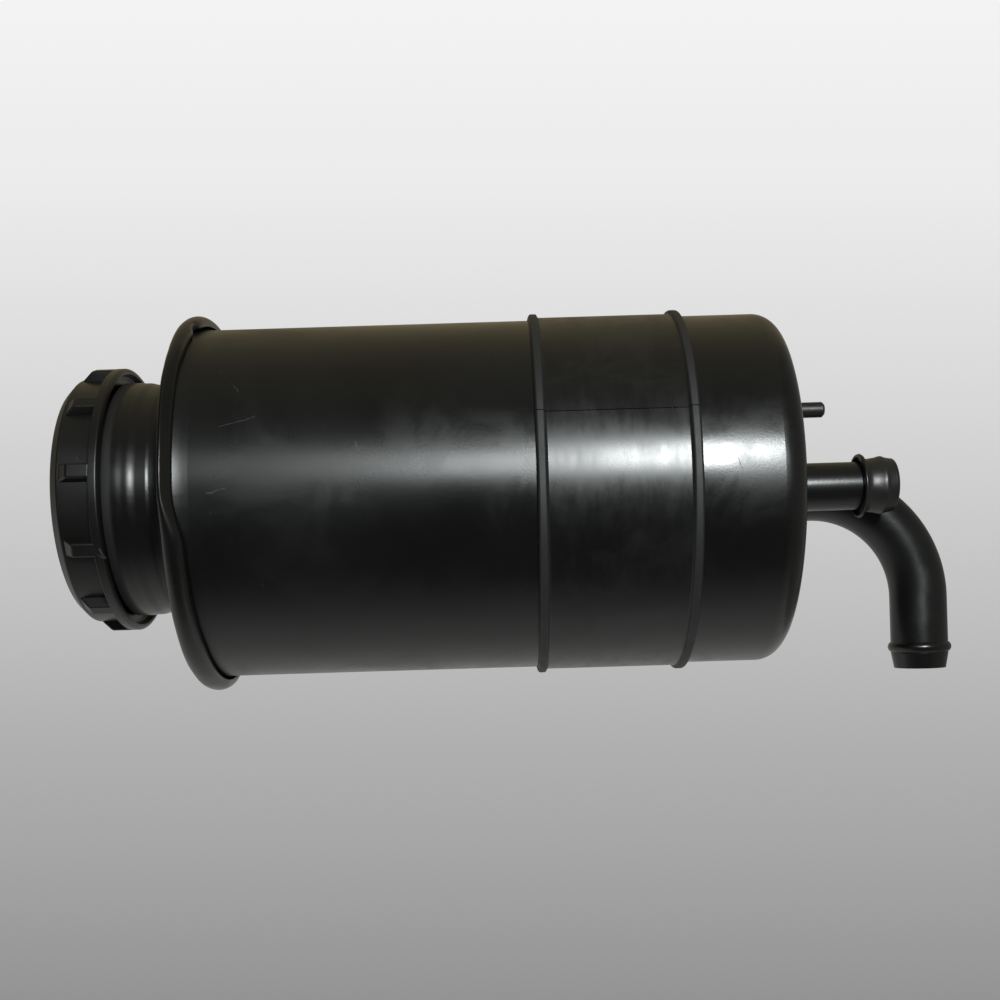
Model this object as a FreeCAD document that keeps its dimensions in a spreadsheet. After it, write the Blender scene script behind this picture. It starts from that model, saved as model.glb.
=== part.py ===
import FreeCAD, Part
import math
import os
import re
import Sketcher

# Power steering reservoir in its working position: filler cap up (+Z), hose tails down.
# The origin is on the can's axis, halfway along the clamp sleeve. Sizes are in millimetres.

SIZES = (
    ("can_radius", 60.0, "outside of the steel can"),
    ("sheet_wall", 1.0, "sheet steel of the can and its cover"),
    ("bottom_depth", 58.4, "can bottom below the middle of the clamp sleeve"),
    ("corner_radius", 8.0, "drawn corner of the can bottom"),
    ("lid_height", 139.9, "top face of the cover above the middle of the clamp sleeve"),
    ("flare_rise", 1.1, "gentle flare of the can wall below its flange"),
    ("flare_length", 6.6, "length of that flare"),
    ("flange_width", 1.8, "flange of the can beyond its wall"),
    ("hem_overhang", 4.8, "rolled seam beyond the can wall"),
    ("hem_roll", 3.1, "outside radius of the rolled seam"),
    ("lip_gap", 1.2, "open groove between the can wall and the seam's lip"),
    ("neck_offset", 2.6, "filler neck off the can's axis"),
    ("neck_radius", 39.7, "waist of the filler neck"),
    ("neck_fillet", 8.0, "bend between the cover and the neck"),
    ("neck_land", 4.0, "flat of the cover drawn with the neck"),
    ("neck_height", 36.8, "neck rim above the cover"),
    ("band_rise", 0.8, "stop band above the waist"),
    ("band_length", 4.5, "width of the stop band"),
    ("band_drop", 12.5, "top of the stop band below the neck rim"),
    ("band_step", 0.8, "length of the bend between shoulder and stop band"),
    ("shoulder_rise", 0.6, "shoulder above the waist, under the stop band"),
    ("shoulder_set", 2.6, "length of the shoulder"),
    ("shoulder_step", 3.2, "length of the bend between waist and shoulder"),
    ("collar_drop", 0.3, "lower neck inside the waist"),
    ("collar_step", 1.4, "length of the bend between lower neck and waist"),
    ("collar_height", 8.9, "lower neck above the cover"),
    ("thread_inset", 0.8, "threaded neck inside the waist"),
    ("rim_lip", 2.2, "width of the turned-in rim"),
    ("rim_edge", 0.5, "rounded edge of the rim"),
    ("thread_room", 0.9, "space for the threads between neck and cap"),
    ("cap_skirt", 2.4, "wall of the cap's skirt"),
    ("cap_roof", 2.5, "top wall of the cap"),
    ("cap_length", 17.5, "cap from its face to its open end"),
    ("cap_edge", 3.4, "rounded edge of the cap's face"),
    ("cap_panel", 31.0, "recessed panel in the cap's face"),
    ("panel_depth", 0.6, "depth of that panel"),
    ("grip_height", 3.3, "grip ribs and end ring above the skirt"),
    ("grip_width", 4.6, "width of a grip rib"),
    ("grip_length", 13.7, "front end of a grip rib from the cap's open end"),
    ("grip_count", 11, "number of grip ribs"),
    ("grip_turn", 15.8, "turn of the closed cap, in degrees"),
    ("ring_height", 3.6, "end ring of the cap"),
    ("ring_bore_depth", 3.5, "wide mouth of the cap over the stop band"),
    ("gasket_height", 1.5, "cap gasket"),
    ("gasket_width", 2.6, "cap gasket, across its ring"),
    ("fit_gap", 0.05, "joint gap between brazed or seated pieces"),
    ("soft_gap", 0.3, "clear gap round a loosely seated piece"),
    ("boss_radius", 8.0, "boss under the cap's roof"),
    ("boss_length", 10.5, "length of that boss"),
    ("stick_width", 6.0, "dipstick blade"),
    ("stick_thickness", 1.2, "dipstick sheet"),
    ("stick_length", 69.0, "dipstick from the cap's roof to its tip"),
    ("stick_notch", 1.0, "depth of the level notches"),
    ("notch_gap", 14.0, "from the low to the full notch"),
    ("stick_tip", 8.0, "low notch above the dipstick's tip"),
    ("plate_sheet", 1.2, "spring plate sheet"),
    ("plate_lip", 3.0, "turned-down lip of the spring plate"),
    ("plate_hole", 4.2, "hole for the dipstick in the spring plate"),
    ("spring_room", 1.5, "radial play of the hold-down spring on its seats"),
    ("spring_radius", 24.0, "mean radius of the hold-down spring"),
    ("spring_wire", 1.5, "wire radius of the hold-down spring"),
    ("spring_turns", 5, "turns of the hold-down spring"),
    ("return_radius", 8.4, "outside of the return pipe"),
    ("return_bore", 6.9, "bore of the return pipe"),
    ("return_length", 41.7, "return pipe below the can bottom"),
    ("return_bead_rise", 0.5, "hose bead of the return pipe"),
    ("return_bead_set", 3.3, "hose bead from the pipe's end"),
    ("bead_half", 1.8, "half the width of a hose bead"),
    ("pipe_edge", 0.8, "chamfer on the return pipe's end"),
    ("standpipe_top", 37.4, "top of the standpipe above the can bottom"),
    ("seat_height", 22.4, "filter seat on the standpipe above the can bottom"),
    ("seat_rise", 2.5, "filter seat beyond the standpipe"),
    ("seat_length", 5.0, "formed length of the filter seat"),
    ("suction_radius", 10.1, "outside of the suction pipe"),
    ("suction_bore", 8.6, "bore of the suction pipe"),
    ("suction_x", 0.5, "suction pipe off the can's axis, on the side its leg points to"),
    ("suction_y", 22.0, "suction pipe behind the return pipe"),
    ("suction_inside", 4.0, "suction pipe above the can bottom's outside"),
    ("suction_run", 19.1, "straight run under the can bottom"),
    ("bend_radius", 39.0, "centreline of the suction pipe's bend"),
    ("suction_reach", 65.3, "leg's end from the pipe's vertical run"),
    ("suction_tail", 14.0, "formed end of the leg"),
    ("suction_bead_rise", 1.05, "hose bead of the suction pipe"),
    ("suction_bead_set", 7.7, "hose bead from the leg's end"),
    ("tip_length", 5.5, "tapered tip of the leg"),
    ("tip_rise", 1.0, "taper of that tip"),
    ("pin_radius", 2.7, "locating pin"),
    ("pin_length", 19.6, "locating pin below the can bottom"),
    ("pin_x", 27.1, "locating pin off the can's axis"),
    ("pin_edge", 0.8, "chamfer on the locating pin"),
    ("dust_wall", 0.6, "side wall of the transit cap"),
    ("dust_end", 1.2, "end wall of the transit cap"),
    ("dust_length", 12.7, "length of the transit cap"),
    ("dust_lip_width", 1.5, "rim of the transit cap beyond its side"),
    ("dust_lip_height", 1.3, "thickness of that rim"),
    ("dust_bulge", 0.45, "swelling of the transit cap over the bead"),
    ("dust_edge", 1.7, "rounded end of the transit cap"),
    ("end_gap", 0.3, "pipe end to the transit cap's floor"),
    ("sleeve_wall", 0.8, "clamp sleeve between its ribs"),
    ("sleeve_half", 23.7, "clamp sleeve's middle to the middle of a rib"),
    ("rib_rise", 2.1, "sleeve ribs above the can wall"),
    ("rib_base", 3.4, "sleeve rib at its foot"),
    ("rib_crest", 2.2, "sleeve rib at its crest"),
    ("sleeve_gap", 0.5, "open butt joint of the sleeve, in degrees"),
    ("sleeve_turn", 290.2, "direction of the butt joint, in degrees from +X"),
    ("cap_sheet", 0.8, "sheet of the filter's end caps"),
    ("filter_radius", 35.0, "outside of the filter's end caps"),
    ("filter_length", 120.0, "filter element over its end caps"),
    ("filter_rim", 5.0, "turned rim of the end caps"),
    ("paper_radius", 33.6, "outer folds of the paper"),
    ("paper_depth", 13.0, "depth of the folds"),
    ("paper_wall", 2.2, "paper across a fold, along the radius"),
    ("pleat_count", 24, "number of folds"),
    ("core_wall", 0.6, "wall of the perforated core"),
    ("core_hole", 2.5, "radius of the core's holes"),
    ("core_rows", 5, "rows of holes in the core"),
    ("core_columns", 6, "holes round the core"),
    ("grommet_wall", 4.0, "grommet's hub round the standpipe"),
    ("grommet_flange", 2.4, "grommet's flanges beyond its hub"),
    ("grommet_sheet", 2.0, "thickness of a grommet flange"),
    ("emboss_height", 2.0, "raised middle of the upper end cap"),
    ("emboss_slope", 1.5, "slope round that raised middle"),
    ("port_radius", 9.0, "relief port"),
    ("disc_overlap", 3.0, "relief disc over the edge of its port"),
    ("disc_sheet", 1.2, "relief disc"),
    ("valve_room", 0.9, "relief disc to its cage"),
    ("cage_sheet", 0.8, "sheet of the relief valve's cage"),
    ("cage_height", 16.0, "relief valve's cage"),
    ("cage_foot", 2.2, "foot of the cage beyond its wall"),
    ("cage_vent", 3.0, "hole in the cage's top"),
    ("window_width", 9.0, "windows in the cage"),
    ("window_height", 8.0, "height of those windows"),
    ("window_sill", 3.5, "windows above the cage's foot"),
    ("valve_spring_radius", 8.0, "mean radius of the relief spring"),
    ("valve_spring_wire", 0.7, "wire radius of the relief spring"),
    ("valve_spring_turns", 3, "turns of the relief spring"),
)

doc = FreeCAD.newDocument("Reservoir")
sheet = doc.addObject("Spreadsheet::Sheet", "Sizes")
aliases = set()
for row, (alias, number, meaning) in enumerate(SIZES, start=1):
    sheet.set("A%d" % row, meaning)
    sheet.set("B%d" % row, str(number))
    sheet.setAlias("B%d" % row, alias)
    aliases.add(alias)
doc.recompute()

# Heights and radii that several pieces share, as formulas of the sizes above
bottom = "(-bottom_depth)"
hem_radius = "(can_radius + hem_overhang)"
hem_middle = "(can_radius + hem_overhang - hem_roll)"
lip_radius = "(can_radius + lip_gap)"
rim_height = "(lid_height + neck_height)"
band_top = "(lid_height + neck_height - band_drop)"
band_bottom = "(lid_height + neck_height - band_drop - band_length)"
thread_radius = "(neck_radius - thread_inset)"
cap_bore = "(neck_radius - thread_inset + thread_room)"
cap_radius = "(neck_radius - thread_inset + thread_room + cap_skirt)"
ring_radius = "(neck_radius - thread_inset + thread_room + cap_skirt + grip_height)"
ring_bore = "(neck_radius + band_rise + thread_room)"
roof_under = "(lid_height + neck_height + gasket_height)"
cap_top = "(lid_height + neck_height + gasket_height + cap_roof)"
cap_foot = "(lid_height + neck_height + gasket_height + cap_roof - cap_length)"
boss_foot = "(lid_height + neck_height + gasket_height - boss_length)"
boss_bore = "(sqrt(stick_width^2 + stick_thickness^2) / 2 + 2 * fit_gap)"
plate_under = "(lid_height + neck_height + gasket_height - boss_length - plate_sheet)"
plate_bore = "(spring_radius + spring_wire + spring_room)"
return_end = "(-bottom_depth - return_length)"
return_bead = "(return_bead_set - bottom_depth - return_length)"
seat_top = "(seat_height - bottom_depth)"
dust_bore = "(return_radius + return_bead_rise + soft_gap)"
dust_radius = "(return_radius + return_bead_rise + soft_gap + dust_wall)"
dust_floor = "(-bottom_depth - return_length - end_gap)"
dust_face = "(-bottom_depth - return_length - end_gap - dust_end)"
dust_mouth = "(-bottom_depth - return_length - end_gap - dust_end + dust_length)"
bend_start = "(-bottom_depth - suction_run)"
leg_height = "(-bottom_depth - suction_run - bend_radius)"
sleeve_bore = "(can_radius + fit_gap)"
filter_foot = "(seat_height - bottom_depth + grommet_sheet)"
filter_top = "(seat_height - bottom_depth + grommet_sheet + filter_length)"
core_radius = "(paper_radius - paper_depth - paper_wall - soft_gap)"
hub_bore = "(return_radius + fit_gap)"
hub_radius = "(return_radius + fit_gap + grommet_wall)"
emboss_radius = "(spring_radius - spring_wire - spring_room - emboss_slope)"
valve_seat = "(seat_height - bottom_depth + grommet_sheet + filter_length + emboss_height)"
disc_radius = "(port_radius + disc_overlap)"
cage_bore = "(port_radius + disc_overlap + valve_room)"


def bound(formula):
    """The formula with each size read from the sheet."""
    return re.sub(r"[a-z_]{2,}", lambda word: prefixed(word.group()), formula)


def prefixed(word):
    return "Sizes." + word if word in aliases else word


def value(formula):
    return float(sheet.evalExpression(formula))


sub_parts = []


def new_body(label):
    body = doc.addObject("PartDesign::Body", label)
    body.Label = label
    sub_parts.append(body)
    return body


def place(body, x="0", y="0", turn="0"):
    """Moves a body across the can's axis and turns it about its own."""
    spin = FreeCAD.Rotation(FreeCAD.Vector(0, 0, 1), value(turn))
    body.Placement = FreeCAD.Placement(FreeCAD.Vector(value(x), value(y), 0), spin)
    body.setExpression("Placement.Base.x", bound(x))
    body.setExpression("Placement.Base.y", bound(y))


def new_sketch(body, name, role="XZ_Plane"):
    sketch = body.newObject("Sketcher::SketchObject", name)
    plane = [feature for feature in body.Origin.OriginFeatures if feature.Role == role][0]
    sketch.AttachmentSupport = (plane, [""])
    sketch.MapMode = "FlatFace"
    return sketch


def pin_point(sketch, name, spot, x, y):
    """Ties a point of the sketch to the formulas for its two coordinates."""
    for letter, kind, formula in (("x", "DistanceX", x), ("y", "DistanceY", y)):
        if formula == "0":
            axis = -2 if letter == "x" else -1
            sketch.addConstraint(Sketcher.Constraint("PointOnObject", spot[0], spot[1], axis))
            continue
        index = sketch.addConstraint(Sketcher.Constraint(kind, -1, 1, spot[0], spot[1], value(formula)))
        sketch.renameConstraint(index, name + letter)
        sketch.setExpression("Constraints." + name + letter, bound(formula))


def pin_radius(sketch, name, curve, formula):
    index = sketch.addConstraint(Sketcher.Constraint("Radius", curve, value(formula)))
    sketch.renameConstraint(index, name)
    sketch.setExpression("Constraints." + name, bound(formula))


def arc_through(start, end, radius, turn):
    """The arc from start to end that turns left or right with that radius."""
    chord = end - start
    left = FreeCAD.Vector(-chord.y, chord.x, 0).normalize()
    if turn == "right":
        left = left * -1
    rise = math.sqrt(max(radius ** 2 - (chord.Length / 2) ** 2, 0))
    middle = (start + end) * 0.5 + left * (rise - radius)
    return Part.Arc(start, middle, end)


def draw(sketch, points, closed=True):
    """Lines and arcs through the points. A point is (x, y), or (x, y, radius, turn) after an arc."""
    spots = [FreeCAD.Vector(value(point[0]), value(point[1]), 0) for point in points]
    ends = {}
    for index, point in enumerate(points):
        if index == 0 and not closed:
            continue
        start = spots[index - 1]
        end = spots[index]
        if len(point) == 2:
            curve = sketch.addGeometry(Part.LineSegment(start, end), False)
        else:
            curve = sketch.addGeometry(arc_through(start, end, value(point[2]), point[3]), False)
        first = 1 if sketch.getPoint(curve, 1).isEqual(start, 1e-6) else 2
        ends[index] = (curve, first, 3 - first)
    for index, point in enumerate(points):
        if index not in ends:
            continue
        curve, first, last = ends[index]
        pin_point(sketch, "point%d" % index, (curve, last), point[0], point[1])
        before = index - 1 if index > 0 else len(points) - 1
        if before in ends:
            other, unused, joint = ends[before]
            sketch.addConstraint(Sketcher.Constraint("Coincident", curve, first, other, joint))
        else:
            pin_point(sketch, "start", (curve, first), points[before][0], points[before][1])
        if len(point) == 4:
            pin_radius(sketch, "bend%d" % index, curve, point[2])


def draw_circle(sketch, name, x, y, radius):
    centre = FreeCAD.Vector(value(x), value(y), 0)
    circle = Part.Circle(centre, FreeCAD.Vector(0, 0, 1), value(radius))
    curve = sketch.addGeometry(circle, False)
    pin_point(sketch, name, (curve, 3), x, y)
    pin_radius(sketch, name + "_radius", curve, radius)


def draw_axis(sketch, start, end):
    """A construction line that a revolution can turn about."""
    spots = [FreeCAD.Vector(value(point[0]), value(point[1]), 0) for point in (start, end)]
    line = sketch.addGeometry(Part.LineSegment(spots[0], spots[1]), True)
    pin_point(sketch, "axis_start", (line, 1), start[0], start[1])
    pin_point(sketch, "axis_end", (line, 2), end[0], end[1])


def turned(body, name, points, axis=None):
    """Adds the closed section, turned about the body's own axis or a line in the sketch."""
    sketch = new_sketch(body, name + "_section")
    draw(sketch, points)
    if axis:
        draw_axis(sketch, axis[0], axis[1])
    feature = body.newObject("PartDesign::Revolution", name + "_turned")
    feature.Profile = sketch
    feature.ReferenceAxis = (sketch, ["Axis0" if axis else "V_Axis"])
    feature.Angle = 360.0
    doc.recompute()
    return feature


def cut_through(body, sketch, name, symmetric=False):
    """Cuts the sketch through the body and checks that something was cut."""
    before = body.Shape.Volume
    pocket = body.newObject("PartDesign::Pocket", name)
    pocket.Profile = sketch
    pocket.Type = "ThroughAll"
    if symmetric:
        pocket.SideType = "Symmetric"
    doc.recompute()
    if body.Shape.Volume > before - 1e-6:
        raise RuntimeError(name + " cuts nothing")
    return pocket


def polar(body, feature, name, count, span="360"):
    pattern = body.newObject("PartDesign::PolarPattern", name)
    pattern.Originals = [feature]
    axis = [part for part in body.Origin.OriginFeatures if part.Role == "Z_Axis"][0]
    pattern.Axis = (axis, [""])
    pattern.Angle = value(span)
    pattern.Occurrences = int(value(count))
    pattern.setExpression("Occurrences", bound(count))
    pattern.setExpression("Angle", bound(span))
    body.Tip = pattern
    doc.recompute()


def bead_radius(rise, half="bead_half"):
    """Radius of the arc that stands `rise` proud of a wall over a width of twice `half`."""
    return "(%s^2 + %s^2) / (2 * %s)" % (half, rise, rise)


def make_can():
    body = new_body("can_body")
    flange_under = "lid_height - 2 * sheet_wall"
    inner_length = "(flare_length + sheet_wall)"
    flare_bend = bead_radius("flare_rise", "flare_length")
    inner_bend = bead_radius("flare_rise", inner_length)
    turned(body, "can", [
        ("0", "sheet_wall - bottom_depth"),
        ("0", bottom),
        ("can_radius - corner_radius", bottom),
        ("can_radius", "corner_radius - bottom_depth", "corner_radius", "left"),
        ("can_radius", flange_under + " - flare_length"),
        ("can_radius + flare_rise", flange_under, flare_bend, "right"),
        ("can_radius + flange_width", flange_under),
        ("can_radius + flange_width", "lid_height - sheet_wall"),
        ("can_radius + flare_rise - sheet_wall", "lid_height - sheet_wall"),
        ("can_radius - sheet_wall", flange_under + " - flare_length", inner_bend, "left"),
        ("can_radius - sheet_wall", "corner_radius - bottom_depth"),
        ("can_radius - corner_radius", "sheet_wall - bottom_depth", "corner_radius - sheet_wall", "right"),
    ])
    holes = new_sketch(body, "pipe_holes", "XY_Plane")
    draw_circle(holes, "return_hole", "0", "0", "return_radius + fit_gap")
    draw_circle(holes, "suction_hole", "-suction_x", "suction_y", "suction_radius + fit_gap")
    cut_through(body, holes, "pipe_holes_cut")


def s_bend(step, rise):
    """Radius of each of the two equal arcs that lead over a step."""
    return "((%s)^2 + (%s)^2) / (4 * (%s))" % (step, rise, rise)


def make_cover():
    body = new_body("top_cover")
    hem_foot = "lid_height - 2 * hem_roll"
    plate_hole = "neck_radius + neck_fillet + neck_land / 2"
    turned(body, "hem", [
        (lip_radius, hem_foot),
        (hem_middle, hem_foot),
        (hem_radius, "lid_height - hem_roll", "hem_roll", "left"),
        (hem_middle, "lid_height", "hem_roll", "left"),
        (plate_hole, "lid_height"),
        (plate_hole, "lid_height - sheet_wall"),
        (hem_middle, "lid_height - sheet_wall"),
        (hem_radius + " - sheet_wall", "lid_height - hem_roll", "hem_roll - sheet_wall", "right"),
        (hem_middle, hem_foot + " + sheet_wall", "hem_roll - sheet_wall", "right"),
        (lip_radius, hem_foot + " + sheet_wall"),
    ])

    def out(radius):
        return "neck_offset + " + radius

    band = "neck_radius + band_rise"
    shoulder = "neck_radius + shoulder_rise"
    collar = "neck_radius - collar_drop"
    land = "neck_radius + neck_fillet + neck_land"
    band_bend = s_bend("band_step", "band_rise - shoulder_rise")
    shoulder_bend = s_bend("shoulder_step", "shoulder_rise")
    collar_bend = s_bend("collar_step", "collar_drop")
    shoulder_foot = band_bottom + " - band_step - shoulder_set"
    waist_top = shoulder_foot + " - shoulder_step"
    collar_top = "lid_height + collar_height"
    turned(body, "neck", [
        (out(land), "lid_height - sheet_wall"),
        (out(land), "lid_height"),
        (out(collar + " + neck_fillet"), "lid_height"),
        (out(collar), "lid_height + neck_fillet", "neck_fillet", "right"),
        (out(collar), collar_top),
        (out(collar + " + collar_drop / 2"), collar_top + " + collar_step / 2", collar_bend, "right"),
        (out("neck_radius"), collar_top + " + collar_step", collar_bend, "left"),
        (out("neck_radius"), waist_top),
        (out("neck_radius + shoulder_rise / 2"), waist_top + " + shoulder_step / 2", shoulder_bend, "right"),
        (out(shoulder), shoulder_foot, shoulder_bend, "left"),
        (out(shoulder), band_bottom + " - band_step"),
        (out("neck_radius + (shoulder_rise + band_rise) / 2"), band_bottom + " - band_step / 2",
         band_bend, "right"),
        (out(band), band_bottom, band_bend, "left"),
        (out(band), band_top),
        (out(thread_radius), band_top),
        (out(thread_radius), rim_height + " - rim_edge"),
        (out(thread_radius + " - rim_edge"), rim_height, "rim_edge", "left"),
        (out(thread_radius + " - rim_lip"), rim_height),
        (out(thread_radius + " - rim_lip"), rim_height + " - sheet_wall"),
        (out(thread_radius + " - sheet_wall"), rim_height + " - sheet_wall"),
        (out(thread_radius + " - sheet_wall"), band_top + " - sheet_wall"),
        (out(collar + " - sheet_wall"), band_top + " - sheet_wall"),
        (out(collar + " - sheet_wall"), "lid_height + neck_fillet"),
        (out(collar + " + neck_fillet"), "lid_height - sheet_wall", "neck_fillet + sheet_wall", "left"),
    ], axis=(("neck_offset", "lid_height"), ("neck_offset", rim_height)))


def make_sleeve():
    body = new_body("clamp_sleeve")
    inner = "sleeve_half - rib_base / 2"
    outer = "sleeve_half + rib_base / 2"
    crest = "can_radius + rib_rise"
    skin = sleeve_bore + " + sleeve_wall"
    feature = turned(body, "sleeve", [
        (sleeve_bore, "-(%s)" % outer),
        (skin, "-(%s)" % outer),
        (crest, "-(sleeve_half + rib_crest / 2)"),
        (crest, "-(sleeve_half - rib_crest / 2)"),
        (skin, "-(%s)" % inner),
        (skin, inner),
        (crest, "sleeve_half - rib_crest / 2"),
        (crest, "sleeve_half + rib_crest / 2"),
        (skin, outer),
        (sleeve_bore, outer),
    ])
    feature.Angle = 360.0 - value("sleeve_gap")
    feature.setExpression("Angle", bound("360 - sleeve_gap"))
    place(body, turn="sleeve_turn")


def make_return_pipe():
    body = new_body("return_pipe")
    seat_radius = "return_radius + seat_rise"
    turned(body, "return", [
        ("return_bore", return_end),
        ("return_radius - pipe_edge", return_end),
        ("return_radius", return_end + " + pipe_edge"),
        ("return_radius", return_bead + " - bead_half"),
        ("return_radius", return_bead + " + bead_half", bead_radius("return_bead_rise"), "left"),
        ("return_radius", seat_top + " - seat_length"),
        (seat_radius, seat_top + " - seat_length / 2"),
        (seat_radius, seat_top),
        ("return_radius", seat_top),
        ("return_radius", "standpipe_top - bottom_depth"),
        ("return_bore", "standpipe_top - bottom_depth"),
    ])


def make_suction_pipe():
    body = new_body("suction_pipe")
    ring = new_sketch(body, "suction_ring", "XY_Plane")
    ring.AttachmentOffset = FreeCAD.Placement(
        FreeCAD.Vector(0, 0, value("suction_inside - bottom_depth")), FreeCAD.Rotation())
    ring.setExpression("AttachmentOffset.Base.z", bound("suction_inside - bottom_depth"))
    draw_circle(ring, "outside", "0", "0", "suction_radius")
    draw_circle(ring, "bore", "0", "0", "suction_bore")
    path = new_sketch(body, "suction_path")
    draw(path, [
        ("0", "suction_inside - bottom_depth"),
        ("0", bend_start),
        ("-bend_radius", leg_height, "bend_radius", "right"),
        ("suction_tail - suction_reach", leg_height),
    ], closed=False)
    pipe = body.newObject("PartDesign::AdditivePipe", "suction_bent")
    pipe.Profile = ring
    pipe.Spine = (path, ["Edge1", "Edge2", "Edge3"])
    doc.recompute()
    wall = leg_height + " + suction_radius"
    tail_bore = leg_height + " + suction_bore"
    turned(body, "suction_tail_form", [
        ("suction_tail - suction_reach", tail_bore),
        ("-suction_reach", tail_bore),
        ("-suction_reach", wall + " - tip_rise"),
        ("tip_length - suction_reach", wall),
        ("suction_bead_set - suction_reach - bead_half", wall),
        ("suction_bead_set - suction_reach + bead_half", wall, bead_radius("suction_bead_rise"), "right"),
        ("suction_tail - suction_reach", wall),
    ], axis=(("0", leg_height), ("-suction_reach", leg_height)))
    place(body, x="-suction_x", y="suction_y")


def make_locating_pin():
    body = new_body("locating_pin")
    pin_end = "-bottom_depth - pin_length"
    turned(body, "pin", [
        ("0", bottom),
        ("0", pin_end),
        ("pin_radius - pin_edge", pin_end),
        ("pin_radius", pin_end + " + pin_edge"),
        ("pin_radius", bottom),
    ])
    place(body, x="pin_x")


def make_dust_cap():
    body = new_body("return_dust_cap")
    lip = dust_radius + " + dust_lip_width"
    turned(body, "dust_cap", [
        ("0", dust_face),
        (dust_radius + " - dust_edge", dust_face),
        (dust_radius, dust_face + " + dust_edge", "dust_edge", "left"),
        (dust_radius, return_bead + " - bead_half"),
        (dust_radius, return_bead + " + bead_half", bead_radius("dust_bulge"), "left"),
        (dust_radius, dust_mouth + " - dust_lip_height"),
        (lip, dust_mouth + " - dust_lip_height"),
        (lip, dust_mouth),
        (dust_bore, dust_mouth),
        (dust_bore, dust_floor),
        ("0", dust_floor),
    ])


def make_screw_cap():
    body = new_body("screw_cap")
    ring_top = cap_foot + " + ring_height"
    turned(body, "cap", [
        ("0", roof_under),
        (boss_bore, roof_under),
        (boss_bore, boss_foot),
        ("boss_radius", boss_foot),
        ("boss_radius", roof_under),
        (cap_bore, roof_under),
        (cap_bore, cap_foot + " + ring_bore_depth"),
        (ring_bore, cap_foot + " + ring_bore_depth"),
        (ring_bore, cap_foot),
        (ring_radius, cap_foot),
        (ring_radius, ring_top),
        (cap_radius, ring_top),
        (cap_radius, cap_top + " - cap_edge"),
        (cap_radius + " - cap_edge", cap_top, "cap_edge", "left"),
        ("cap_panel", cap_top),
        ("cap_panel - panel_depth", cap_top + " - panel_depth"),
        ("0", cap_top + " - panel_depth"),
    ])
    side = new_sketch(body, "grip_side")
    rib_front = cap_foot + " + grip_length"
    draw(side, [
        (cap_radius + " - cap_skirt / 2", ring_top),
        (ring_radius, ring_top),
        (ring_radius, rib_front + " - grip_height"),
        (cap_radius, rib_front),
        (cap_radius + " - cap_skirt / 2", rib_front),
    ])
    rib = body.newObject("PartDesign::Pad", "grip_rib")
    rib.Profile = side
    rib.SideType = "Symmetric"
    rib.Length = value("grip_width")
    rib.setExpression("Length", bound("grip_width"))
    doc.recompute()
    polar(body, rib, "grip_ribs", "grip_count")
    place(body, x="neck_offset", turn="grip_turn")


def make_gasket():
    body = new_body("cap_gasket")
    outside = cap_bore + " - soft_gap"
    turned(body, "gasket", [
        (outside + " - gasket_width", rim_height),
        (outside, rim_height),
        (outside, roof_under),
        (outside + " - gasket_width", roof_under),
    ])
    place(body, x="neck_offset")


def make_dipstick():
    body = new_body("dipstick")
    tip = roof_under + " - stick_length"
    low = tip + " + stick_tip"
    full = low + " + notch_gap"
    edge = "stick_width / 2"
    waist = "stick_width / 2 - stick_notch"
    side = new_sketch(body, "blade")
    draw(side, [
        ("-(%s)" % edge, roof_under),
        ("-(%s)" % edge, tip + " + " + edge),
        ("0", tip),
        (edge, tip + " + " + edge),
        (edge, low),
        (waist, low + " + stick_notch"),
        (edge, low + " + 2 * stick_notch"),
        (edge, full),
        (waist, full + " + stick_notch"),
        (edge, full + " + 2 * stick_notch"),
        (edge, roof_under),
    ])
    blade = body.newObject("PartDesign::Pad", "blade_sheet")
    blade.Profile = side
    blade.SideType = "Symmetric"
    blade.Length = value("stick_thickness")
    blade.setExpression("Length", bound("stick_thickness"))
    doc.recompute()
    place(body, x="neck_offset", turn="grip_turn")


def make_spring_plate():
    body = new_body("spring_plate")
    edge = plate_bore + " + plate_sheet"
    turned(body, "plate", [
        ("plate_hole", plate_under),
        (plate_bore, plate_under),
        (plate_bore, plate_under + " - plate_lip"),
        (edge, plate_under + " - plate_lip"),
        (edge, boss_foot),
        ("plate_hole", boss_foot),
    ])
    place(body, x="neck_offset")


def make_coil(label, radius, wire, low, high, turns, x="0"):
    """A spring wound between two heights."""
    body = new_body(label)
    sketch = new_sketch(body, label + "_wire")
    draw_circle(sketch, "wire", radius, "%s + %s" % (low, wire), wire)
    coil = body.newObject("PartDesign::AdditiveHelix", label + "_coil")
    coil.Profile = sketch
    coil.ReferenceAxis = (sketch, ["V_Axis"])
    coil.Mode = "height-turns-angle"
    height = "(%s) - (%s) - 2 * %s" % (high, low, wire)
    coil.Height = value(height)
    coil.Turns = value(turns)
    coil.setExpression("Height", bound(height))
    coil.setExpression("Turns", bound(turns))
    doc.recompute()
    place(body, x=x)


def make_end_caps():
    lower = new_body("filter_lower_cap")
    wall = "filter_radius - cap_sheet"
    turned(lower, "lower_cap", [
        (hub_radius + " + fit_gap", filter_foot),
        ("filter_radius", filter_foot),
        ("filter_radius", filter_foot + " + filter_rim"),
        (wall, filter_foot + " + filter_rim"),
        (wall, filter_foot + " + cap_sheet"),
        (hub_radius + " + fit_gap", filter_foot + " + cap_sheet"),
    ])
    upper = new_body("filter_upper_cap")
    slope_foot = emboss_radius + " + emboss_slope"
    turned(upper, "upper_cap", [
        ("port_radius", valve_seat + " - cap_sheet"),
        (emboss_radius, valve_seat + " - cap_sheet"),
        (slope_foot, filter_top + " - cap_sheet"),
        (wall, filter_top + " - cap_sheet"),
        (wall, filter_top + " - filter_rim"),
        ("filter_radius", filter_top + " - filter_rim"),
        ("filter_radius", filter_top),
        (slope_foot, filter_top),
        (emboss_radius, valve_seat),
        ("port_radius", valve_seat),
    ])


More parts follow.
